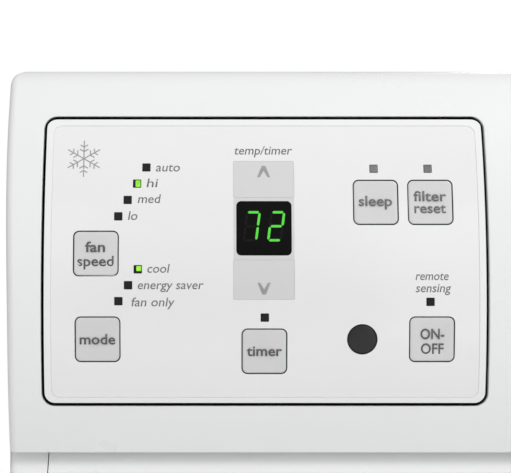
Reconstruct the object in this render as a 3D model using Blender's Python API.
"""Compact window air conditioner: every piece is its own object, named as its part of the unit.

The unit stands on its base pan. Its front faces -Y, its outdoor end faces +Y and +Z is up. The origin is
at the bottom centre of its bounding box. Sizes are written in millimetres and scaled to metres by MM.
"""

import math

import bmesh
import bpy
from mathutils import Matrix, Vector

MM = 0.001

# Overall size
WIDTH = 470.0
DEPTH = 546.0
HEIGHT = 340.0
HALF_WIDTH = WIDTH / 2
FRONT_Y = -DEPTH / 2
REAR_Y = DEPTH / 2
GAP = 0.3

# Front moulding: a bowed upper section over a groove, and a flat lower border
WALL = 2.8
BOW_RADIUS = 130.0
BOW_Z = 267.6
BOW_Y = FRONT_Y + BOW_RADIUS
BOW_STEP = math.radians(5.0)
TOP_ROUND = 12.0
TOP_ROUND_STEPS = 5
SECTION_LOW = 223.0
GROOVE_LOW = 218.5
GROOVE_DEPTH = 7.0
LOWER_Y = BOW_Y - math.sqrt(BOW_RADIUS**2 - (SECTION_LOW - BOW_Z) ** 2)
GROOVE_Y = LOWER_Y + GROOVE_DEPTH
FRAME_LOW = 3.0
FRAME_BACK = -225.0
CORNER_ROUND = 5.5
SHELF_LOW = 215.7
FLANGE_Y = -244.0

# Control panel, placed on the left of the bowed section
PANEL_X = (-223.94, -91.68)
PANEL_Z = (238.1, 324.2)
PANEL_ROUND = 3.1
PANEL_GAP = 0.6
PANEL_THICK = 3.0
BUTTON_SIZE = 13.05
BUTTON_GAP = 0.4
BUTTON_ROUND = 1.4
BUTTON_THICK = 3.0
BUTTON_SINK = 0.15
STEM = 4.0
SQUARE_BUTTONS = {
    "fan_speed_button": (-208.35, 282.9),
    "mode_button": (-207.8, 257.3),
    "timer_button": (-158.0, 253.7),
    "sleep_button": (-124.5, 298.3),
    "filter_reset_button": (-108.1, 298.3),
    "on_off_button": (-108.0, 257.3),
}
STRIP_X = -158.1
STRIP_WIDTH = 18.2
TEMP_UP_Z = (299.7, 310.8)
TEMP_DOWN_Z = (269.2, 281.0)
WINDOW_Z = (282.55, 298.4)
WINDOW_WIDTH = 16.1
RECEIVER = (-128.8, 257.3)
RECEIVER_RADIUS = 4.25
LIGHT = 2.1
LIGHT_GUIDES = {
    "fan_speed_light_guide": [(-193.46 - 2.76 * i, 308.9 - 4.95 * i) for i in range(4)],
    "mode_light_guide": [(-195.8 - 2.88 * i, 278.2 - 4.75 * i) for i in range(3)],
    "sleep_filter_light_guide": [(-124.9, 308.5), (-108.6, 308.5)],
    "timer_light_guide": [(-157.9, 263.8)],
    "remote_light_guide": [(-108.5, 268.5)],
}
WEB_Y = (-257.0, -254.5)

# Board and box behind the panel
BOARD_Y = -249.5
BOARD_THICK = 1.6
SWITCH = 6.0
SWITCH_DEPTH = 5.0
STEM_BACK = BOARD_Y - SWITCH_DEPTH - 1.0

# Discharge opening with its louvres and vanes
OPEN_X = (-72.0, 214.0)
OPEN_Z = (240.0, 318.0)
DUCT_Y = (-258.0, -205.6)
DUCT_WALL = 2.5
DUCT_PLAY = 0.5
LOUVRE_Z = [251.0 + 19.0 * i for i in range(4)]
LOUVRE_Y = -253.0
LOUVRE_BACK = 9.0
LOUVRE_THICK = 2.0
LOUVRE_END = 207.0
PIN_RADIUS = 1.5
CRANK = 7.0
LINK_WIDTH = 4.6
VANE_X = {"left": (-44.0, 2.0, 48.0), "right": (94.0, 140.0, 186.0)}
VANE_Y = -229.0
VANE_CHORD = 26.0
VANE_THICK = 1.8
VANE_LOW = 243.6

# Intake grille and filter
GRILLE_X = 223.3
GRILLE_Z = (19.5, 218.2)
GRILLE_THICK = 2.6
GRILLE_RIM = 6.0
GRILLE_LIP = 1.2
GRILLE_AXIS = (LOWER_Y + 1.5, 21.5)
OPENING_X = 223.6
OPENING_LOW = 18.5
SLATS = 17
FILTER_X = (-219.0, 222.0)
FILTER_Y = (-252.0, -247.0)
FILTER_Z = (21.0, 213.0)

# Cabinet
CABINET_X = 219.0
CABINET_TOP = 325.0
CABINET_Y = (-224.6, 266.0)
SHEET = 1.2
PAN_X = 217.4
PAN_Y = (-222.0, 262.0)
PAN_WALL = 1.5
PAN_FLOOR = 4.0
PAN_RIM = 22.0
INNER_LOW = PAN_FLOOR + PAN_WALL + GAP

# Fan line: one shaft along Y carries the blower wheel and the condenser fan
FAN_X = -20.0
FAN_Z = 150.0
SHAFT_RADIUS = 4.0
SHAFT_Y = (-189.0, 152.0)
WHEEL_RADIUS = 78.0
WHEEL_Y = (-192.0, -112.0)
WHEEL_BLADES = 20
SCROLL_RADIUS = 98.0
SCROLL_WALL = 4.0
SCROLL_Y = (-205.0, -97.0)
BULKHEAD_Y = (-93.0, -91.5)
MOTOR_RADIUS = 48.0
MOTOR_Y = (-80.0, 0.0)
FAN_RADIUS = 112.0
FAN_Y = (120.0, 146.0)
FAN_BLADES = 5
SHROUD_Y = (108.0, 214.0)
SHROUD_X = (-214.0, 194.0)
COMPRESSOR = (135.0, 25.0)
COMPRESSOR_RADIUS = 58.0

# Window parts on the outside of the cabinet
CURTAIN_Y = (-108.0, -92.0)
CURTAIN_Z = (24.0, 323.0)
POST_THICK = 5.7
ARM_LENGTH = 205.0
RAIL_Z = CABINET_TOP + GAP
RAIL_TOP = 337.0

WHITE_PLASTIC = ((0.83, 0.84, 0.84), 0.28, 0.0)
PANEL_PLASTIC = ((0.84, 0.85, 0.85), 0.2, 0.0)
BUTTON_PLASTIC = ((0.74, 0.75, 0.76), 0.4, 0.0)
SMOKED = ((0.01, 0.01, 0.01), 0.1, 0.0)
LENS_BLACK = ((0.03, 0.03, 0.03), 0.15, 0.0)
GUIDE_GREY = ((0.06, 0.06, 0.06), 0.25, 0.0)
BOARD_GREEN = ((0.04, 0.2, 0.08), 0.5, 0.0)
BOX_PLASTIC = ((0.3, 0.31, 0.32), 0.6, 0.0)
PAINTED = ((0.72, 0.72, 0.7), 0.45, 0.0)
GALVANISED = ((0.55, 0.57, 0.58), 0.4, 0.9)
ALUMINIUM = ((0.7, 0.71, 0.72), 0.35, 0.9)
COPPER = ((0.72, 0.38, 0.24), 0.3, 1.0)
FOAM = ((0.88, 0.88, 0.86), 0.9, 0.0)
BLACK_PAINT = ((0.02, 0.02, 0.02), 0.4, 0.0)
DARK_PLASTIC = ((0.1, 0.1, 0.11), 0.5, 0.0)
STEEL = ((0.6, 0.6, 0.62), 0.25, 1.0)
RUBBER = ((0.03, 0.03, 0.03), 0.8, 0.0)
FILTER_BLUE = ((0.35, 0.42, 0.46), 0.8, 0.0)
CURTAIN_VINYL = ((0.8, 0.8, 0.77), 0.5, 0.0)


# ---------------------------------------------------------------- modelling helpers


def clear_scene():
    """Empties the scene of whatever the file opened with."""
    for obj in list(bpy.data.objects):
        bpy.data.objects.remove(obj, do_unlink=True)


def finish_material(name, finish):
    """A Principled material with one colour, roughness and metallic value."""
    colour, roughness, metallic = finish
    material = bpy.data.materials.new(name)
    material.use_nodes = True
    shader = material.node_tree.nodes["Principled BSDF"]
    shader.inputs["Base Color"].default_value = (*colour, 1.0)
    shader.inputs["Roughness"].default_value = roughness
    shader.inputs["Metallic"].default_value = metallic
    material.diffuse_color = (*colour, 1.0)
    return material


def place(name, bm, finish=None, origin=None):
    """Turns a bmesh in millimetres into an object in metres, with its own origin if one is given."""
    bmesh.ops.recalc_face_normals(bm, faces=bm.faces)
    start = Vector(origin) if origin else Vector((0.0, 0.0, 0.0))
    bmesh.ops.translate(bm, verts=bm.verts, vec=-start)
    bmesh.ops.scale(bm, verts=bm.verts, vec=(MM, MM, MM))
    mesh = bpy.data.meshes.new(name)
    bm.to_mesh(mesh)
    bm.free()
    obj = bpy.data.objects.new(name, mesh)
    obj.location = start * MM
    bpy.context.scene.collection.objects.link(obj)
    if finish:
        mesh.materials.append(finish_material(name, finish))
    return obj


def to_point(axis, u, v, along):
    """A point from its two plane coordinates and its height along the axis."""
    if axis == "X":
        return (along, u, v)
    if axis == "Y":
        return (u, along, v)
    return (u, v, along)


def level(value, u, v):
    """An end of a prism: a number, or a function of the outline's point."""
    return value(u, v) if callable(value) else value


def add_prism(bm, outline, axis, low, high):
    """A prism on an outline: (y, z) points for axis X, (x, z) for Y and (x, y) for Z."""
    first = [bm.verts.new(to_point(axis, u, v, level(low, u, v))) for u, v in outline]
    last = [bm.verts.new(to_point(axis, u, v, level(high, u, v))) for u, v in outline]
    bm.faces.new(first)
    bm.faces.new(last)
    count = len(outline)
    for i in range(count):
        j = (i + 1) % count
        bm.faces.new((first[i], first[j], last[j], last[i]))


def rectangle(u0, u1, v0, v1):
    """The four corners of a rectangle."""
    return [(u0, v0), (u1, v0), (u1, v1), (u0, v1)]


def add_box(bm, x, y, z):
    """A box from its three ranges."""
    add_prism(bm, rectangle(x[0], x[1], y[0], y[1]), "Z", z[0], z[1])


def circle(u, v, radius, sides):
    """A regular polygon with its corners on a circle."""
    turn = 2 * math.pi / sides
    return [(u + radius * math.cos(i * turn), v + radius * math.sin(i * turn)) for i in range(sides)]


def rounded(u0, u1, v0, v1, radius, steps=3):
    """A rectangle with rounded corners."""
    centres = [(u1 - radius, v1 - radius), (u0 + radius, v1 - radius)]
    centres += [(u0 + radius, v0 + radius), (u1 - radius, v0 + radius)]
    points = []
    for corner, (cu, cv) in enumerate(centres):
        for step in range(steps + 1):
            angle = math.pi / 2 * (corner + step / steps)
            points.append((cu + radius * math.cos(angle), cv + radius * math.sin(angle)))
    return points


def around(centre, size):
    """The range of a given size about a middle value."""
    return (centre - size / 2, centre + size / 2)


def turned_point(axis, centre, radius, angle, along):
    """A point at a radius and angle about an axis line."""
    u = centre[0] + radius * math.cos(angle)
    v = centre[1] + radius * math.sin(angle)
    return to_point(axis, u, v, along)


def add_turned(bm, profile, axis, centre, sides=24):
    """A body of revolution from (radius, height) points; a radius of 0 closes it on the axis."""
    rings = []
    for radius, along in profile:
        count = sides if radius > 0 else 1
        ring = [
            bm.verts.new(turned_point(axis, centre, radius, 2 * math.pi * k / sides, along))
            for k in range(count)
        ]
        rings.append(ring)
    closed = profile[0][0] > 0
    pairs = list(zip(rings, rings[1:]))
    if closed:
        pairs.append((rings[-1], rings[0]))
    for a, b in pairs:
        for k in range(sides):
            m = (k + 1) % sides
            corners = [a[k % len(a)], a[m % len(a)], b[m % len(b)], b[k % len(b)]]
            bm.faces.new(list(dict.fromkeys(corners)))


def combine(obj, name, bm, operation):
    """Joins, cuts or intersects an object with a hidden tool."""
    tool = place(name, bm)
    tool.hide_render = True
    tool.display_type = "WIRE"
    modifier = obj.modifiers.new(name, "BOOLEAN")
    modifier.operation = operation
    modifier.solver = "EXACT"
    modifier.object = tool


def cut(obj, name, bm):
    """Cuts a hidden tool out of an object."""
    combine(obj, name, bm, "DIFFERENCE")


def join(obj, name, bm):
    """Joins a hidden tool to an object."""
    combine(obj, name, bm, "UNION")


def smooth(obj, angle=35.0):
    """Shades a round piece smooth, with its edges kept sharp."""
    obj.data.shade_smooth()
    obj.data.set_sharp_from_angle(angle=math.radians(angle))


def add_empty(name, point):
    """An empty that carries the pieces of one moving body."""
    empty = bpy.data.objects.new(name, None)
    empty.location = Vector(point) * MM
    bpy.context.scene.collection.objects.link(empty)
    return empty


def keep_under(empty, obj):
    """Parents a piece to an empty and leaves it where it is."""
    bpy.context.view_layer.update()
    obj.parent = empty
    obj.matrix_parent_inverse = empty.matrix_world.inverted()


# ---------------------------------------------------------------- the bowed front


def bow_y(z, depth=0.0):
    """The y of the bowed surface at a height, or of a surface that lies a depth under it."""
    return BOW_Y - math.sqrt((BOW_RADIUS - depth) ** 2 - (z - BOW_Z) ** 2)


def bow_arc(depth, z_low, z_high):
    """(y, z) points up the bow between two heights, on the same angles at every depth."""
    radius = BOW_RADIUS - depth
    points = [(bow_y(z_low, depth), z_low)]
    first = math.ceil(math.asin((z_low - BOW_Z) / radius) / BOW_STEP + 0.2)
    last = math.floor(math.asin((z_high - BOW_Z) / radius) / BOW_STEP - 0.2)
    for k in range(first, last + 1):
        angle = k * BOW_STEP
        points.append((BOW_Y - radius * math.cos(angle), BOW_Z + radius * math.sin(angle)))
    points.append((bow_y(z_high, depth), z_high))
    return points


def bow_plane(z_middle, depth=0.0):
    """The y of the flat plane that touches the bow at a height, as a function of an outline's point."""
    slope = (z_middle - BOW_Z) / (BOW_Y - bow_y(z_middle))
    start = bow_y(z_middle, depth)
    return lambda u, v: start + slope * (v - z_middle)


def top_arc(depth):
    """(y, z) points from the bow round to the top of the front, a depth under its surface."""
    reach = BOW_RADIUS - TOP_ROUND
    centre_z = HEIGHT - TOP_ROUND
    begin = math.asin((centre_z - BOW_Z) / reach)
    centre_y = BOW_Y - reach * math.cos(begin)
    radius = TOP_ROUND - depth
    points = []
    for step in range(TOP_ROUND_STEPS + 1):
        angle = begin + (math.pi / 2 - begin) * step / TOP_ROUND_STEPS
        points.append((centre_y - radius * math.cos(angle), centre_z + radius * math.sin(angle)))
    return points


def front_profile():
    """The outer (y, z) outline of the whole front moulding."""
    chamfer = 3.0
    round_top = top_arc(0.0)
    points = [(FRAME_BACK, FRAME_LOW), (LOWER_Y + chamfer, FRAME_LOW), (LOWER_Y, FRAME_LOW + chamfer)]
    points += [(LOWER_Y, GROOVE_LOW), (GROOVE_Y, GROOVE_LOW), (GROOVE_Y, SECTION_LOW)]
    points += bow_arc(0.0, SECTION_LOW, round_top[0][1])[:-1]
    points += round_top
    points.append((FRAME_BACK, HEIGHT))
    return points


def upper_cavity_profile():
    """The (y, z) outline of the hollow behind the bowed section."""
    shelf_top = GROOVE_LOW + 0.5
    rear = FRAME_BACK - WALL
    round_top = top_arc(WALL)
    points = [(rear, shelf_top), (GROOVE_Y + WALL, shelf_top), (GROOVE_Y + WALL, SECTION_LOW + WALL)]
    points += bow_arc(WALL, SECTION_LOW + WALL, round_top[0][1])[:-1]
    points += round_top
    points.append((rear, HEIGHT - WALL))
    return points


def build_front_frame():
    bm = bmesh.new()
    add_prism(bm, front_profile(), "X", -HALF_WIDTH, HALF_WIDTH)
    frame = place("front_frame", bm, WHITE_PLASTIC)

    bm = bmesh.new()
    outline = rounded(-HALF_WIDTH, HALF_WIDTH, FRAME_LOW, HEIGHT, CORNER_ROUND)
    add_prism(bm, outline, "Y", FRONT_Y - 10, FRAME_BACK + 10)
    combine(frame, "tool_front_corners", bm, "INTERSECT")

    bm = bmesh.new()
    inner = HALF_WIDTH - WALL
    add_prism(bm, upper_cavity_profile(), "X", -inner, inner)
    cut(frame, "tool_front_cavity", bm)

    bm = bmesh.new()
    add_box(bm, (-OPENING_X, OPENING_X), (FRONT_Y, FLANGE_Y), (OPENING_LOW, SHELF_LOW))
    cut(frame, "tool_intake_opening", bm)

    bm = bmesh.new()
    inside = CABINET_X - SHEET
    through = (FLANGE_Y - 1, FRAME_BACK + 5)
    add_box(bm, (-inside, inside), through, (OPENING_LOW, SHELF_LOW))
    cut(frame, "tool_intake_throat", bm)

    bm = bmesh.new()
    through = (FRAME_BACK - WALL - 1, FRAME_BACK + 5)
    add_box(bm, (-inside, inside), through, (GROOVE_LOW + 4.0, CABINET_TOP - SHEET))
    cut(frame, "tool_cabinet_throat", bm)

    bm = bmesh.new()
    add_box(bm, (-OPENING_X, OPENING_X), (FRONT_Y, GROOVE_Y - 0.2), (SHELF_LOW - 5, GROOVE_LOW + 1))
    cut(frame, "tool_grille_top", bm)

    bm = bmesh.new()
    x0, x1 = PANEL_X[0] - PANEL_GAP, PANEL_X[1] + PANEL_GAP
    z0, z1 = PANEL_Z[0] - PANEL_GAP, PANEL_Z[1] + PANEL_GAP
    add_prism(bm, rounded(x0, x1, z0, z1, PANEL_ROUND + PANEL_GAP), "Y", FRONT_Y - 5, -250.0)
    add_prism(bm, rounded(*OPEN_X, *OPEN_Z, 4.0), "Y", FRONT_Y - 5, -250.0)
    cut(frame, "tool_panel_and_discharge", bm)

    bm = bmesh.new()
    slot_y = (FILTER_Y[0] - 0.6, FILTER_Y[1] + 0.6)
    add_box(bm, (OPENING_X - 3, HALF_WIDTH + 5), slot_y, (FILTER_Z[0] - 1, FILTER_Z[1] + 1))
    cut(frame, "tool_filter_slot", bm)

    bm = bmesh.new()
    for side in (-1, 1):
        ends = sorted((side * (OPENING_X - 2), side * (OPENING_X + 4)))
        add_prism(bm, circle(*GRILLE_AXIS, 1.2, 10), "X", *ends)
    cut(frame, "tool_grille_pin_holes", bm)
    return frame


# ---------------------------------------------------------------- control panel


def strip_range():
    """The x range shared by the two temperature keys."""
    return around(STRIP_X, STRIP_WIDTH)


def button_outline(name, grow=0.0):
    """The rounded outline of a square button, grown by a clearance."""
    x, z = SQUARE_BUTTONS[name]
    size = BUTTON_SIZE + 2 * grow
    return rounded(*around(x, size), *around(z, size), BUTTON_ROUND + grow, 2)


def light_outline(point, grow=0.0):
    """The square outline of one indicator, grown by a clearance."""
    size = LIGHT + 2 * grow
    return rectangle(*around(point[0], size), *around(point[1], size))


def all_lights():
    """Every indicator's place on the panel."""
    return [point for points in LIGHT_GUIDES.values() for point in points]


def build_bezel():
    bm = bmesh.new()
    low, high = PANEL_Z[0] - 2, PANEL_Z[1] + 2
    shell = bow_arc(0.0, low, high) + bow_arc(PANEL_THICK, low, high)[::-1]
    add_prism(bm, shell, "X", PANEL_X[0] - 2, PANEL_X[1] + 2)
    bezel = place("control_bezel", bm, PANEL_PLASTIC)

    bm = bmesh.new()
    add_prism(bm, rounded(*PANEL_X, *PANEL_Z, PANEL_ROUND), "Y", FRONT_Y - 5, -240.0)
    combine(bezel, "tool_bezel_outline", bm, "INTERSECT")

    bm = bmesh.new()
    through = (FRONT_Y - 5, -240.0)
    for name in SQUARE_BUTTONS:
        add_prism(bm, button_outline(name, BUTTON_GAP), "Y", *through)
    x0, x1 = strip_range()
    for z0, z1 in (TEMP_UP_Z, TEMP_DOWN_Z):
        add_prism(bm, rectangle(x0 - GAP, x1 + GAP, z0 - GAP, z1 + GAP), "Y", *through)
    window_x = around(STRIP_X, WINDOW_WIDTH + 2 * GAP)
    add_prism(bm, rectangle(*window_x, WINDOW_Z[0] - GAP, WINDOW_Z[1] + GAP), "Y", *through)
    for point in all_lights():
        add_prism(bm, light_outline(point, GAP), "Y", *through)
    add_prism(bm, circle(*RECEIVER, RECEIVER_RADIUS + GAP + 0.1, 16), "Y", *through)
    cut(bezel, "tool_bezel_holes", bm)


def add_button(name, outline, x, z):
    """A cap that lies flush in the bow, with a stem back to its switch."""
    bm = bmesh.new()
    add_prism(bm, outline, "Y", bow_plane(z, BUTTON_SINK), bow_plane(z, BUTTON_THICK))
    button = place(name, bm, BUTTON_PLASTIC, origin=(x, bow_y(z), z))
    bm = bmesh.new()
    add_box(bm, around(x, STEM), (bow_y(z, BUTTON_THICK) - 1.5, STEM_BACK), around(z, STEM))
    join(button, "tool_stem_" + name, bm)


def build_buttons():
    for name, (x, z) in SQUARE_BUTTONS.items():
        add_button(name, button_outline(name), x, z)
    x0, x1 = strip_range()
    for name, (z0, z1) in {"temp_up_button": TEMP_UP_Z, "temp_down_button": TEMP_DOWN_Z}.items():
        add_button(name, rectangle(x0, x1, z0, z1), STRIP_X, (z0 + z1) / 2)


def build_display():
    z_middle = sum(WINDOW_Z) / 2
    bm = bmesh.new()
    outline = rectangle(*around(STRIP_X, WINDOW_WIDTH), *WINDOW_Z)
    add_prism(bm, outline, "Y", bow_plane(z_middle), bow_plane(z_middle, 1.5))
    place("display_window", bm, SMOKED)

    bm = bmesh.new()
    front = bow_y(z_middle, 4.2)
    add_box(bm, around(STRIP_X, 15.0), (front, BOARD_Y - GAP), around(z_middle, 15.0))
    place("display_module", bm, LENS_BLACK)

    bm = bmesh.new()
    add_prism(bm, circle(*RECEIVER, RECEIVER_RADIUS, 16), "Y", bow_plane(RECEIVER[1]), -262.0)
    place("receiver_lens", bm, LENS_BLACK)


def web_outline(points):
    """The outline of the web that runs from the first post of a light guide to its last."""
    half = LIGHT / 2 - 0.2
    (xa, za), (xb, zb) = points[0], points[-1]
    if len(points) == 1:
        return rectangle(*around(xa, LIGHT + 1.4), *around(za, LIGHT + 1.4))
    if za == zb:
        return rectangle(xa - half, xb + half, za - half, za + half)
    upper, lower = za + half, zb - half
    return [(xa - half, upper), (xb - half, lower), (xb + half, lower), (xa + half, upper)]


def build_light_guides():
    """Clear posts from the panel's face to the board, each group held together by one web."""
    for name, points in LIGHT_GUIDES.items():
        bm = bmesh.new()
        add_prism(bm, web_outline(points), "Y", *WEB_Y)
        guide = place(name, bm, GUIDE_GREY)
        bm = bmesh.new()
        for point in points:
            add_prism(bm, light_outline(point), "Y", bow_plane(point[1]), BOARD_Y - 0.5)
        join(guide, "tool_posts_" + name, bm)


def build_board():
    bm = bmesh.new()
    add_box(bm, (-222.0, -94.0), (BOARD_Y, BOARD_Y + BOARD_THICK), (241.0, 322.0))
    board = place("control_board", bm, BOARD_GREEN)
    bm = bmesh.new()
    centres = list(SQUARE_BUTTONS.values())
    centres += [(STRIP_X, sum(TEMP_UP_Z) / 2), (STRIP_X, sum(TEMP_DOWN_Z) / 2)]
    for x, z in centres:
        add_box(bm, around(x, SWITCH), (BOARD_Y - SWITCH_DEPTH, BOARD_Y + 0.5), around(z, SWITCH))
    join(board, "tool_switches", bm)

    bm = bmesh.new()
    add_box(bm, (-229.0, -88.0), (-253.2, -228.2), (232.0, 330.0))
    box = place("control_box", bm, BOX_PLASTIC)
    bm = bmesh.new()
    add_box(bm, (-227.0, -90.0), (-260.0, -230.2), (234.0, 328.0))
    cut(box, "tool_control_box", bm)


# ---------------------------------------------------------------- discharge


def build_duct():
    x0, x1 = OPEN_X[0] - DUCT_PLAY, OPEN_X[1] + DUCT_PLAY
    z0, z1 = OPEN_Z[0] - DUCT_PLAY, OPEN_Z[1] + DUCT_PLAY
    wall = DUCT_WALL
    bm = bmesh.new()
    add_box(bm, (x0 - wall, x1 + wall), DUCT_Y, (z0 - wall, z1 + wall))
    duct = place("discharge_duct", bm, WHITE_PLASTIC)
    bm = bmesh.new()
    add_box(bm, (x0, x1), (DUCT_Y[0] - 5, DUCT_Y[1] + 5), (z0, z1))
    cut(duct, "tool_duct_bore", bm)

    bm = bmesh.new()
    hole = PIN_RADIUS + GAP
    for z in LOUVRE_Z:
        add_prism(bm, circle(LOUVRE_Y, z, hole, 10), "X", x0 - wall - 2, x1 + wall + 2)
    for bank in VANE_X.values():
        for x in bank:
            add_prism(bm, circle(x, VANE_Y, hole, 10), "Z", z1 - 1, z1 + wall + 2)
            add_prism(bm, circle(x, VANE_Y, hole, 10), "Z", z0 - wall - 2, z0 + 1)
    cut(duct, "tool_duct_pin_holes", bm)


def build_louvres():
    x0, x1 = OPEN_X[0] + DUCT_PLAY, LOUVRE_END
    for number, z in enumerate(LOUVRE_Z, start=1):
        half = LOUVRE_THICK / 2
        front = bow_y(z) + 1.6
        back = LOUVRE_Y + LOUVRE_BACK
        outline = [(front, z - 0.4), (LOUVRE_Y, z - half), (back, z - 0.4)]
        outline += [(back, z + 0.4), (LOUVRE_Y, z + half), (front, z + 0.4)]
        bm = bmesh.new()
        add_prism(bm, outline, "X", x0, x1)
        louvre = place(f"louvre_{number}", bm, WHITE_PLASTIC, origin=(0.0, LOUVRE_Y, z))
        bm = bmesh.new()
        ends = (OPEN_X[0] - DUCT_PLAY - 2.0, OPEN_X[1] + DUCT_PLAY + 2.0)
        add_prism(bm, circle(LOUVRE_Y, z, PIN_RADIUS, 10), "X", *ends)
        join(louvre, f"tool_louvre_pivot_{number}", bm)
        bm = bmesh.new()
        add_prism(bm, circle(LOUVRE_Y + CRANK, z, 1.0, 8), "X", x1 - 3, x1 + 3.2)
        join(louvre, f"tool_louvre_crank_{number}", bm)

    bm = bmesh.new()
    link_y = around(LOUVRE_Y + CRANK, LINK_WIDTH)
    add_box(bm, (x1 + 0.8, x1 + 2.6), link_y, (LOUVRE_Z[0] - 3, LOUVRE_Z[-1] + 3))
    link = place("louvre_link", bm, WHITE_PLASTIC, origin=(0.0, LOUVRE_Y + CRANK, LOUVRE_Z[0]))
    bm = bmesh.new()
    for z in LOUVRE_Z:
        add_prism(bm, circle(LOUVRE_Y + CRANK, z, 1.35, 8), "X", x1, x1 + 4)
    cut(link, "tool_louvre_link_holes", bm)


def build_vanes():
    z0 = OPEN_Z[0] - DUCT_PLAY
    z1 = OPEN_Z[1] + DUCT_PLAY
    crank_y = VANE_Y + CRANK
    for side, bank in VANE_X.items():
        for number, x in enumerate(bank, start=1):
            half = VANE_THICK / 2
            front, back = VANE_Y - VANE_CHORD / 2, VANE_Y + VANE_CHORD / 2
            outline = [(x - 0.4, front), (x + 0.4, front), (x + half, VANE_Y)]
            outline += [(x + 0.4, back), (x - 0.4, back), (x - half, VANE_Y)]
            bm = bmesh.new()
            add_prism(bm, outline, "Z", VANE_LOW, z1 - 0.8)
            vane = place(f"{side}_vane_{number}", bm, WHITE_PLASTIC, origin=(x, VANE_Y, VANE_LOW))
            bm = bmesh.new()
            add_prism(bm, circle(x, VANE_Y, PIN_RADIUS, 10), "Z", z0 - 2, z1 + 2)
            join(vane, f"tool_{side}_vane_pivot_{number}", bm)
            bm = bmesh.new()
            add_prism(bm, circle(x, crank_y, 0.8, 8), "Z", z0 + 0.6, VANE_LOW + 2)
            join(vane, f"tool_{side}_vane_crank_{number}", bm)

        bm = bmesh.new()
        add_box(bm, (bank[0] - 3, bank[-1] + 3), around(crank_y, LINK_WIDTH), (z0 + 0.8, VANE_LOW - 1.0))
        link = place(f"{side}_vane_link", bm, WHITE_PLASTIC, origin=(bank[0], crank_y, VANE_LOW))
        bm = bmesh.new()
        for x in bank:
            add_prism(bm, circle(x, crank_y, 1.15, 8), "Z", z0, VANE_LOW)
        cut(link, f"tool_{side}_vane_link_holes", bm)


# ---------------------------------------------------------------- intake


def build_grille():
    z0, z1 = GRILLE_Z
    x = GRILLE_X
    bm = bmesh.new()
    add_box(bm, (-x, x), (LOWER_Y, LOWER_Y + GRILLE_RIM), (z0, z1))
    grille = place("intake_grille", bm, WHITE_PLASTIC, origin=(0.0, *GRILLE_AXIS))

    bm = bmesh.new()
    skin = LOWER_Y + GRILLE_THICK
    add_box(bm, (-x + 2.4, x - 2.4), (skin, LOWER_Y + 20), (z0 + 2.0, z1 - 2.4))
    cut(grille, "tool_grille_hollow", bm)

    bm = bmesh.new()
    first, last = z0 + 13.0, z1 - 13.0
    pitch = (last - first) / SLATS
    columns = 3
    span = (2 * x - 28.0) / columns
    for row in range(SLATS):
        for column in range(columns):
            left = -x + 14.0 + column * span + 2.5
            slot_z = (first + row * pitch + 3.4, first + (row + 1) * pitch)
            add_box(bm, (left, left + span - 5.0), (LOWER_Y - 5, skin + 1), slot_z)
    cut(grille, "tool_grille_slots", bm)

    bm = bmesh.new()
    for side in (-1, 1):
        ends = sorted((side * (x - 1.5), side * (x + 2.8)))
        add_prism(bm, circle(*GRILLE_AXIS, 0.9, 10), "X", *ends)
    join(grille, "tool_grille_pins", bm)

    bm = bmesh.new()
    lip_back = GROOVE_Y - 0.5
    add_box(bm, (-x, x), (lip_back - GRILLE_LIP, lip_back), (z1 - 4.0, SECTION_LOW - GAP))
    join(grille, "tool_grille_lip", bm)


def build_filter():
    bm = bmesh.new()
    add_box(bm, FILTER_X, FILTER_Y, FILTER_Z)
    sheet = place("air_filter", bm, FILTER_BLUE)

    bm = bmesh.new()
    columns, rows, bar = 6, 3, 4.0
    cell_x = (FILTER_X[1] - FILTER_X[0] - bar) / columns
    cell_z = (FILTER_Z[1] - FILTER_Z[0] - bar) / rows
    middle = sum(FILTER_Y) / 2
    for column in range(columns):
        for row in range(rows):
            x0 = FILTER_X[0] + bar + column * cell_x
            z0 = FILTER_Z[0] + bar + row * cell_z
            hole_x, hole_z = (x0, x0 + cell_x - bar), (z0, z0 + cell_z - bar)
            add_box(bm, hole_x, (FILTER_Y[0] - 1, middle - 0.4), hole_z)
            add_box(bm, hole_x, (middle + 0.4, FILTER_Y[1] + 1), hole_z)
    cut(sheet, "tool_filter_cells", bm)

    bm = bmesh.new()
    tab_y = (FILTER_Y[0] + 0.8, FILTER_Y[1] - 0.8)
    add_box(bm, (FILTER_X[1] - 2, HALF_WIDTH - 0.4), tab_y, (100.0, 134.0))
    join(sheet, "tool_filter_tab", bm)


# ---------------------------------------------------------------- cabinet


def build_base_pan():
    bm = bmesh.new()
    add_box(bm, (-PAN_X, PAN_X), PAN_Y, (PAN_FLOOR, PAN_RIM))
    pan = place("base_pan", bm, GALVANISED)
    bm = bmesh.new()
    inner_y = (PAN_Y[0] + PAN_WALL, PAN_Y[1] - PAN_WALL)
    add_box(bm, (PAN_WALL - PAN_X, PAN_X - PAN_WALL), inner_y, (PAN_FLOOR + PAN_WALL, PAN_RIM + 5))
    cut(pan, "tool_pan_hollow", bm)
    bm = bmesh.new()
    for x in (-170.0, 170.0):
        add_box(bm, around(x, 40.0), (PAN_Y[0] + 8, PAN_Y[1] - 8), (0.0, PAN_FLOOR + 0.8))
    join(pan, "tool_pan_runners", bm)
    bm = bmesh.new()
    add_prism(bm, circle(150.0, 14.0, 5.3, 12), "Y", PAN_Y[1] - 5, PAN_Y[1] + 5)
    cut(pan, "tool_drain_hole", bm)

    bm = bmesh.new()
    profile = [(0.0, 256.0), (5.0, 256.0), (5.0, PAN_Y[1] + GAP), (7.5, PAN_Y[1] + GAP)]
    profile += [(7.5, PAN_Y[1] + 4.0), (0.0, PAN_Y[1] + 4.0)]
    add_turned(bm, profile, "Y", (150.0, 14.0), 12)
    smooth(place("drain_plug", bm, RUBBER))


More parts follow.
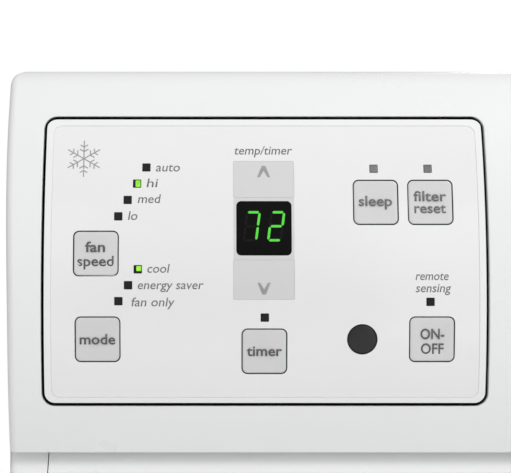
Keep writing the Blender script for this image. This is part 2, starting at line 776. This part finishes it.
def build_cabinet():
    bm = bmesh.new()
    add_box(bm, (-CABINET_X, CABINET_X), CABINET_Y, (2.0, CABINET_TOP))
    shell = place("cabinet_shell", bm, PAINTED)
    bm = bmesh.new()
    inner = CABINET_X - SHEET
    add_box(bm, (-inner, inner), (CABINET_Y[0] - 5, CABINET_Y[1] + 5), (-5.0, CABINET_TOP - SHEET))
    cut(shell, "tool_cabinet_inside", bm)

    bm = bmesh.new()
    for side in (-1, 1):
        ends = sorted((side * (CABINET_X - 5), side * (CABINET_X + 5)))
        for start in (-60.0, 40.0, 140.0):
            for row in range(7):
                z = 160.0 + 18.0 * row
                add_box(bm, ends, (start, start + 80.0), (z, z + 3.6))
    cut(shell, "tool_side_vents", bm)
    bm = bmesh.new()
    add_prism(bm, circle(-205.0, 45.0, 6.4, 12), "X", CABINET_X - 5, CABINET_X + 5)
    cut(shell, "tool_gland_hole", bm)

    bm = bmesh.new()
    out = CABINET_X + GAP
    profile = [(3.7, 213.0), (6.0, 213.0), (6.0, out), (10.0, out), (10.0, out + 4)]
    profile += [(6.0, out + 11), (3.7, out + 11)]
    add_turned(bm, profile, "X", (-205.0, 45.0), 12)
    smooth(place("cord_gland", bm, RUBBER))


def build_rear_guard():
    x = CABINET_X - SHEET - 1.5
    bm = bmesh.new()
    add_box(bm, (-x, x), (REAR_Y - 6.5, REAR_Y), (24.0, 322.0))
    guard = place("rear_guard", bm, DARK_PLASTIC)
    bm = bmesh.new()
    columns, rows, bar = 12, 4, 3.0
    cell_x = (2 * x - 12.0 + bar) / columns
    cell_z = (322.0 - 24.0 - 12.0 + bar) / rows
    for column in range(columns):
        for row in range(rows):
            x0 = -x + 6.0 + column * cell_x
            z0 = 30.0 + row * cell_z
            add_box(bm, (x0, x0 + cell_x - bar), (REAR_Y - 20, REAR_Y + 5), (z0, z0 + cell_z - bar))
    cut(guard, "tool_guard_cells", bm)


# ---------------------------------------------------------------- cooling parts


def add_coil(name, x, y, z, fins, face):
    """A finned block; its fins are slots along Z in the face that the air meets first."""
    slot_depth = 6.0
    pitch = (x[1] - x[0]) / fins
    near, far = (y[0], y[1]) if face < 0 else (y[1], y[0])
    inward = -face * slot_depth
    outline = [(x[1], far), (x[0], far)]
    for k in range(fins):
        left = x[0] + k * pitch
        outline += [(left, near), (left + 0.55 * pitch, near)]
        outline += [(left + 0.55 * pitch, near + inward), (left + pitch, near + inward)]
    bm = bmesh.new()
    add_prism(bm, outline, "Z", *z)
    return place(name, bm, ALUMINIUM)


def add_hairpins(coil, name, x, y, z_list):
    """Copper return bends at the end of a coil, joined to it."""
    bm = bmesh.new()
    for z in z_list:
        add_box(bm, x, y, (z, z + 22.0))
    join(coil, name, bm)


def build_coils():
    front = add_coil("evaporator_coil", (-212.0, 186.0), (-240.0, -212.0), (26.0, 208.0), 36, -1)
    low_ends = [34.0 + 44.0 * i for i in range(4)]
    add_hairpins(front, "tool_evaporator_bends", (184.0, 194.0), (-232.0, -224.0), low_ends)
    rear = add_coil("condenser_coil", (-214.0, 190.0), (220.0, 252.0), (28.0, 312.0), 36, 1)
    low_ends = [40.0 + 44.0 * i for i in range(5)]
    add_hairpins(rear, "tool_condenser_bends", (188.0, 198.0), (230.0, 240.0), low_ends)


def smooth_path(points, per_span):
    """Points along a Catmull-Rom curve through the given points."""
    ends = [points[0] * 2 - points[1], *points, points[-1] * 2 - points[-2]]
    path = []
    for i in range(1, len(ends) - 2):
        p0, p1, p2, p3 = ends[i - 1 : i + 3]
        for step in range(per_span):
            t = step / per_span
            a = 2 * p1 + (p2 - p0) * t + (2 * p0 - 5 * p1 + 4 * p2 - p3) * t**2
            path.append(0.5 * (a + (3 * p1 - p0 - 3 * p2 + p3) * t**3))
    path.append(points[-1])
    return path


def add_pipe(name, corners, radius):
    """A copper pipe along a smooth route through its corner points."""
    path = smooth_path([Vector(p) for p in corners], 4)
    curve = bpy.data.curves.new(name, "CURVE")
    curve.dimensions = "3D"
    spline = curve.splines.new("POLY")
    spline.points.add(len(path) - 1)
    for point, place_at in zip(spline.points, path):
        point.co = (*(place_at * MM), 1.0)
    curve.bevel_depth = radius * MM
    curve.bevel_resolution = 2
    curve.use_fill_caps = True
    curve.materials.append(finish_material(name, COPPER))
    obj = bpy.data.objects.new(name, curve)
    bpy.context.scene.collection.objects.link(obj)


def build_pipes():
    suction = [(194.6, -226.0, 60.0), (201.0, -225.0, 60.0), (205.0, -216.0, 60.0), (205.0, -150.0, 60.0)]
    suction += [(205.0, -60.0, 60.0), (207.0, -8.0, 70.0), (210.0, 16.0, 84.0)]
    suction += [(205.0, 25.0, 90.0), (194.4, 25.0, 90.0)]
    add_pipe("suction_line", suction, 4.5)
    hot = [(135.0, 25.0, 206.0), (135.0, 26.0, 222.0), (142.0, 34.0, 238.0), (175.0, 60.0, 252.0)]
    hot += [(204.0, 95.0, 262.0), (207.0, 150.0, 268.0), (207.0, 222.0, 270.0)]
    hot += [(205.0, 234.0, 270.0), (198.8, 237.0, 270.0)]
    add_pipe("hot_gas_line", hot, 3.5)


def build_compressor():
    x, y = COMPRESSOR
    low, high = 24.0, 205.0
    bm = bmesh.new()
    profile = [(0.0, low), (48.0, low), (COMPRESSOR_RADIUS, low + 12), (COMPRESSOR_RADIUS, high - 24)]
    profile += [(46.0, high - 6), (20.0, high), (0.0, high)]
    add_turned(bm, profile, "Z", COMPRESSOR, 24)
    compressor = place("compressor", bm, BLACK_PAINT)
    smooth(compressor)
    bm = bmesh.new()
    corners = circle(x, y, 76.0, 3)
    add_prism(bm, corners, "Z", low - 4, low + 2)
    join(compressor, "tool_compressor_feet", bm)
    bm = bmesh.new()
    for cx, cy in circle(x, y, 62.0, 3):
        add_prism(bm, circle(cx, cy, 5.0, 10), "Z", INNER_LOW, low - 2)
    join(compressor, "tool_compressor_legs", bm)


# ---------------------------------------------------------------- air path and fans


def build_scroll():
    y0, y1 = SCROLL_Y
    wall = SCROLL_WALL
    x0, x1 = OPEN_X[0] + 2.0, OPEN_X[1] - 2.0
    top = OPEN_Z[1] - 2.0
    centre = (FAN_X, FAN_Z)
    bm = bmesh.new()
    add_prism(bm, circle(*centre, SCROLL_RADIUS + wall, 32), "Y", y0, y1)
    scroll = place("blower_scroll", bm, FOAM)
    bm = bmesh.new()
    add_box(bm, (x0 - wall, x1 + wall), (y0, y1), (FAN_Z - wall, top + wall))
    join(scroll, "tool_scroll_neck", bm)
    bm = bmesh.new()
    add_prism(bm, circle(*centre, SCROLL_RADIUS, 32), "Y", y0 + wall, y1 - wall)
    cut(scroll, "tool_scroll_chamber", bm)
    bm = bmesh.new()
    add_box(bm, (x0, x1), (y0 + wall, y1 - wall), (FAN_Z, top))
    cut(scroll, "tool_scroll_channel", bm)
    bm = bmesh.new()
    add_box(bm, (x0, x1), (y0 - 5, y0 + wall + 1), (OPEN_Z[0] + 4, top))
    add_prism(bm, circle(*centre, WHEEL_RADIUS - 10, 32), "Y", y0 - 5, y0 + wall + 1)
    add_prism(bm, circle(*centre, 12.0, 16), "Y", y1 - wall - 1, y1 + 5)
    cut(scroll, "tool_scroll_openings", bm)

    bm = bmesh.new()
    add_box(bm, (-215.0, 215.0), BULKHEAD_Y, (INNER_LOW, 316.0))
    bulkhead = place("bulkhead", bm, GALVANISED)
    bm = bmesh.new()
    through = (BULKHEAD_Y[0] - 5, BULKHEAD_Y[1] + 5)
    add_prism(bm, circle(*centre, 16.0, 16), "Y", *through)
    add_prism(bm, circle(205.0, 60.0, 7.0, 12), "Y", *through)
    cut(bulkhead, "tool_bulkhead_holes", bm)


def build_shroud():
    x0, x1 = SHROUD_X
    y0, y1 = SHROUD_Y
    low, high, wall = 26.0, 312.0, 2.0
    bm = bmesh.new()
    add_box(bm, (x0, x1), (y0, y1), (low, high))
    shroud = place("condenser_shroud", bm, DARK_PLASTIC)
    bm = bmesh.new()
    add_box(bm, (x0 + wall, x1 - wall), (y0 + wall, y1 + 5), (low + wall, high - wall))
    cut(shroud, "tool_shroud_inside", bm)
    bm = bmesh.new()
    add_prism(bm, circle(FAN_X, FAN_Z, FAN_RADIUS + 5, 32), "Y", y0 - 5, y0 + wall + 1)
    cut(shroud, "tool_shroud_ring", bm)


def build_motor():
    y0, y1 = MOTOR_Y
    centre = (FAN_X, FAN_Z)
    bore = SHAFT_RADIUS + GAP + 0.2
    bm = bmesh.new()
    profile = [(bore, y0), (16.0, y0), (20.0, y0 + 8), (MOTOR_RADIUS, y0 + 12), (MOTOR_RADIUS, y1 - 12)]
    profile += [(20.0, y1 - 8), (16.0, y1), (bore, y1)]
    add_turned(bm, profile, "Y", centre, 24)
    smooth(place("fan_motor", bm, DARK_PLASTIC))

    bm = bmesh.new()
    add_box(bm, around(FAN_X, 80.0), (-56.0, -24.0), (INNER_LOW, 132.0))
    bracket = place("motor_bracket", bm, GALVANISED)
    bm = bmesh.new()
    add_box(bm, around(FAN_X, 76.8), (-60.0, -20.0), (INNER_LOW + 1.6, 96.0))
    cut(bracket, "tool_bracket_window", bm)
    bm = bmesh.new()
    add_prism(bm, circle(*centre, MOTOR_RADIUS + 0.4, 24), "Y", -60.0, -20.0)
    cut(bracket, "tool_bracket_cradle", bm)

    bm = bmesh.new()
    profile = [(0.0, INNER_LOW), (19.0, INNER_LOW), (19.0, 74.0), (12.0, 78.0), (0.0, 78.0)]
    add_turned(bm, profile, "Z", (-160.0, -40.0), 16)
    smooth(place("capacitor", bm, ALUMINIUM))


def add_turned_blade(bm, radii, width, thick, pitch, turn, middle_y):
    """One flat blade of the axial fan, pitched about its own radius."""
    radial = Vector((math.cos(turn), 0.0, math.sin(turn)))
    tangent = Vector((-math.sin(turn), 0.0, math.cos(turn)))
    along = Vector((0.0, 1.0, 0.0))
    chord = tangent * math.cos(pitch) + along * math.sin(pitch)
    normal = along * math.cos(pitch) - tangent * math.sin(pitch)
    middle = Vector((FAN_X, middle_y, FAN_Z)) + radial * sum(radii) / 2
    size = Matrix.Diagonal((radii[1] - radii[0], width, thick, 1.0))
    turned = Matrix((radial, chord, normal)).transposed().to_4x4()
    bmesh.ops.create_cube(bm, size=1.0, matrix=Matrix.Translation(middle) @ turned @ size)


def build_blower(empty):
    centre = (FAN_X, FAN_Z)
    y0, y1 = WHEEL_Y
    bore = SHAFT_RADIUS + GAP
    bm = bmesh.new()
    profile = [(bore, y1), (WHEEL_RADIUS, y1), (WHEEL_RADIUS, y1 - 2.5), (15.0, y1 - 2.5)]
    profile += [(15.0, y1 - 28), (bore, y1 - 28)]
    add_turned(bm, profile, "Y", centre, 32)
    wheel = place("blower_wheel", bm, DARK_PLASTIC)
    bm = bmesh.new()
    inner = WHEEL_RADIUS - 9
    ring = [(inner, y0), (WHEEL_RADIUS, y0), (WHEEL_RADIUS, y0 + 3), (inner, y0 + 3)]
    add_turned(bm, ring, "Y", centre, 32)
    join(wheel, "tool_wheel_ring", bm)
    bm = bmesh.new()
    for k in range(WHEEL_BLADES):
        turn = 2 * math.pi * k / WHEEL_BLADES
        lean = turn + math.radians(35.0)
        middle = Vector((FAN_X + 73.5 * math.cos(turn), (y0 + y1) / 2, FAN_Z + 73.5 * math.sin(turn)))
        size = Matrix.Diagonal((7.0, y1 - y0 - 2.4, 1.4, 1.0))
        matrix = Matrix.Translation(middle) @ Matrix.Rotation(-lean, 4, "Y") @ size
        bmesh.ops.create_cube(bm, size=1.0, matrix=matrix)
    join(wheel, "tool_wheel_blades", bm)
    keep_under(empty, wheel)


def build_condenser_fan(empty):
    centre = (FAN_X, FAN_Z)
    y0, y1 = FAN_Y
    bore = SHAFT_RADIUS + GAP
    bm = bmesh.new()
    profile = [(bore, y0), (24.0, y0), (28.0, y0 + 4), (28.0, y1), (bore, y1)]
    add_turned(bm, profile, "Y", centre, 20)
    fan = place("condenser_fan", bm, DARK_PLASTIC)
    bm = bmesh.new()
    middle_y = (y0 + y1) / 2
    for k in range(FAN_BLADES):
        turn = 2 * math.pi * k / FAN_BLADES
        add_turned_blade(bm, (25.0, FAN_RADIUS - 4), 52.0, 2.4, math.radians(24.0), turn, middle_y)
    join(fan, "tool_fan_blades", bm)
    bm = bmesh.new()
    inner = FAN_RADIUS - 6
    ring_y = (middle_y - 6, middle_y + 6)
    ring = [(inner, ring_y[0]), (FAN_RADIUS, ring_y[0]), (FAN_RADIUS, ring_y[1]), (inner, ring_y[1])]
    add_turned(bm, ring, "Y", centre, 32)
    join(fan, "tool_fan_ring", bm)
    keep_under(empty, fan)


def build_fan_line():
    empty = add_empty("fan_axis", (FAN_X, 0.0, FAN_Z))
    bm = bmesh.new()
    add_prism(bm, circle(FAN_X, FAN_Z, SHAFT_RADIUS, 12), "Y", *SHAFT_Y)
    shaft = place("fan_shaft", bm, STEEL)
    smooth(shaft)
    keep_under(empty, shaft)
    build_blower(empty)
    build_condenser_fan(empty)


# ---------------------------------------------------------------- window parts


def build_rail():
    y0, y1 = CURTAIN_Y
    wall = 1.4
    lip_z = HEIGHT - 1.0
    outline = [(y0, RAIL_Z), (y1, RAIL_Z), (y1, lip_z), (y1 - wall, lip_z), (y1 - wall, RAIL_TOP)]
    outline += [(y0, RAIL_TOP), (y0, RAIL_TOP - wall), (y1 - wall, RAIL_TOP - wall)]
    outline += [(y1 - wall, RAIL_Z + wall), (y0, RAIL_Z + wall)]
    bm = bmesh.new()
    add_prism(bm, outline, "X", -214.0, 214.0)
    place("top_sash_rail", bm, PAINTED)


def build_curtains():
    y0, y1 = CURTAIN_Y
    folds = 6
    for side, sign in (("left", -1), ("right", 1)):
        outer = HALF_WIDTH
        inner = outer - POST_THICK
        bm = bmesh.new()
        add_box(bm, sorted((sign * inner, sign * outer)), (y0, y1), (16.0, 336.0))
        frame = place(f"{side}_curtain_frame", bm, WHITE_PLASTIC)
        bm = bmesh.new()
        arm = sorted((sign * (outer - 2), sign * (outer - ARM_LENGTH)))
        add_box(bm, arm, (y0 + 3, y1 - 3), (RAIL_Z + 3.0, RAIL_TOP - 3.0))
        join(frame, f"tool_{side}_curtain_arm", bm)

        start, end = CABINET_X + GAP, inner - GAP
        pitch = (end - start) / folds
        near = [(sign * (start + pitch * k), y0 + (3.0 if k % 2 else 0.0)) for k in range(folds + 1)]
        far = [(sign * (start + pitch * k), y1 - (0.0 if k % 2 else 3.0)) for k in range(folds, -1, -1)]
        bm = bmesh.new()
        add_prism(bm, near + far, "Z", *CURTAIN_Z)
        place(f"{side}_curtain", bm, CURTAIN_VINYL)


def main():
    clear_scene()
    build_front_frame()
    build_bezel()
    build_buttons()
    build_display()
    build_light_guides()
    build_board()
    build_duct()
    build_louvres()
    build_vanes()
    build_grille()
    build_filter()
    build_base_pan()
    build_cabinet()
    build_rear_guard()
    build_coils()
    build_pipes()
    build_compressor()
    build_scroll()
    build_shroud()
    build_motor()
    build_fan_line()
    build_rail()
    build_curtains()


main()
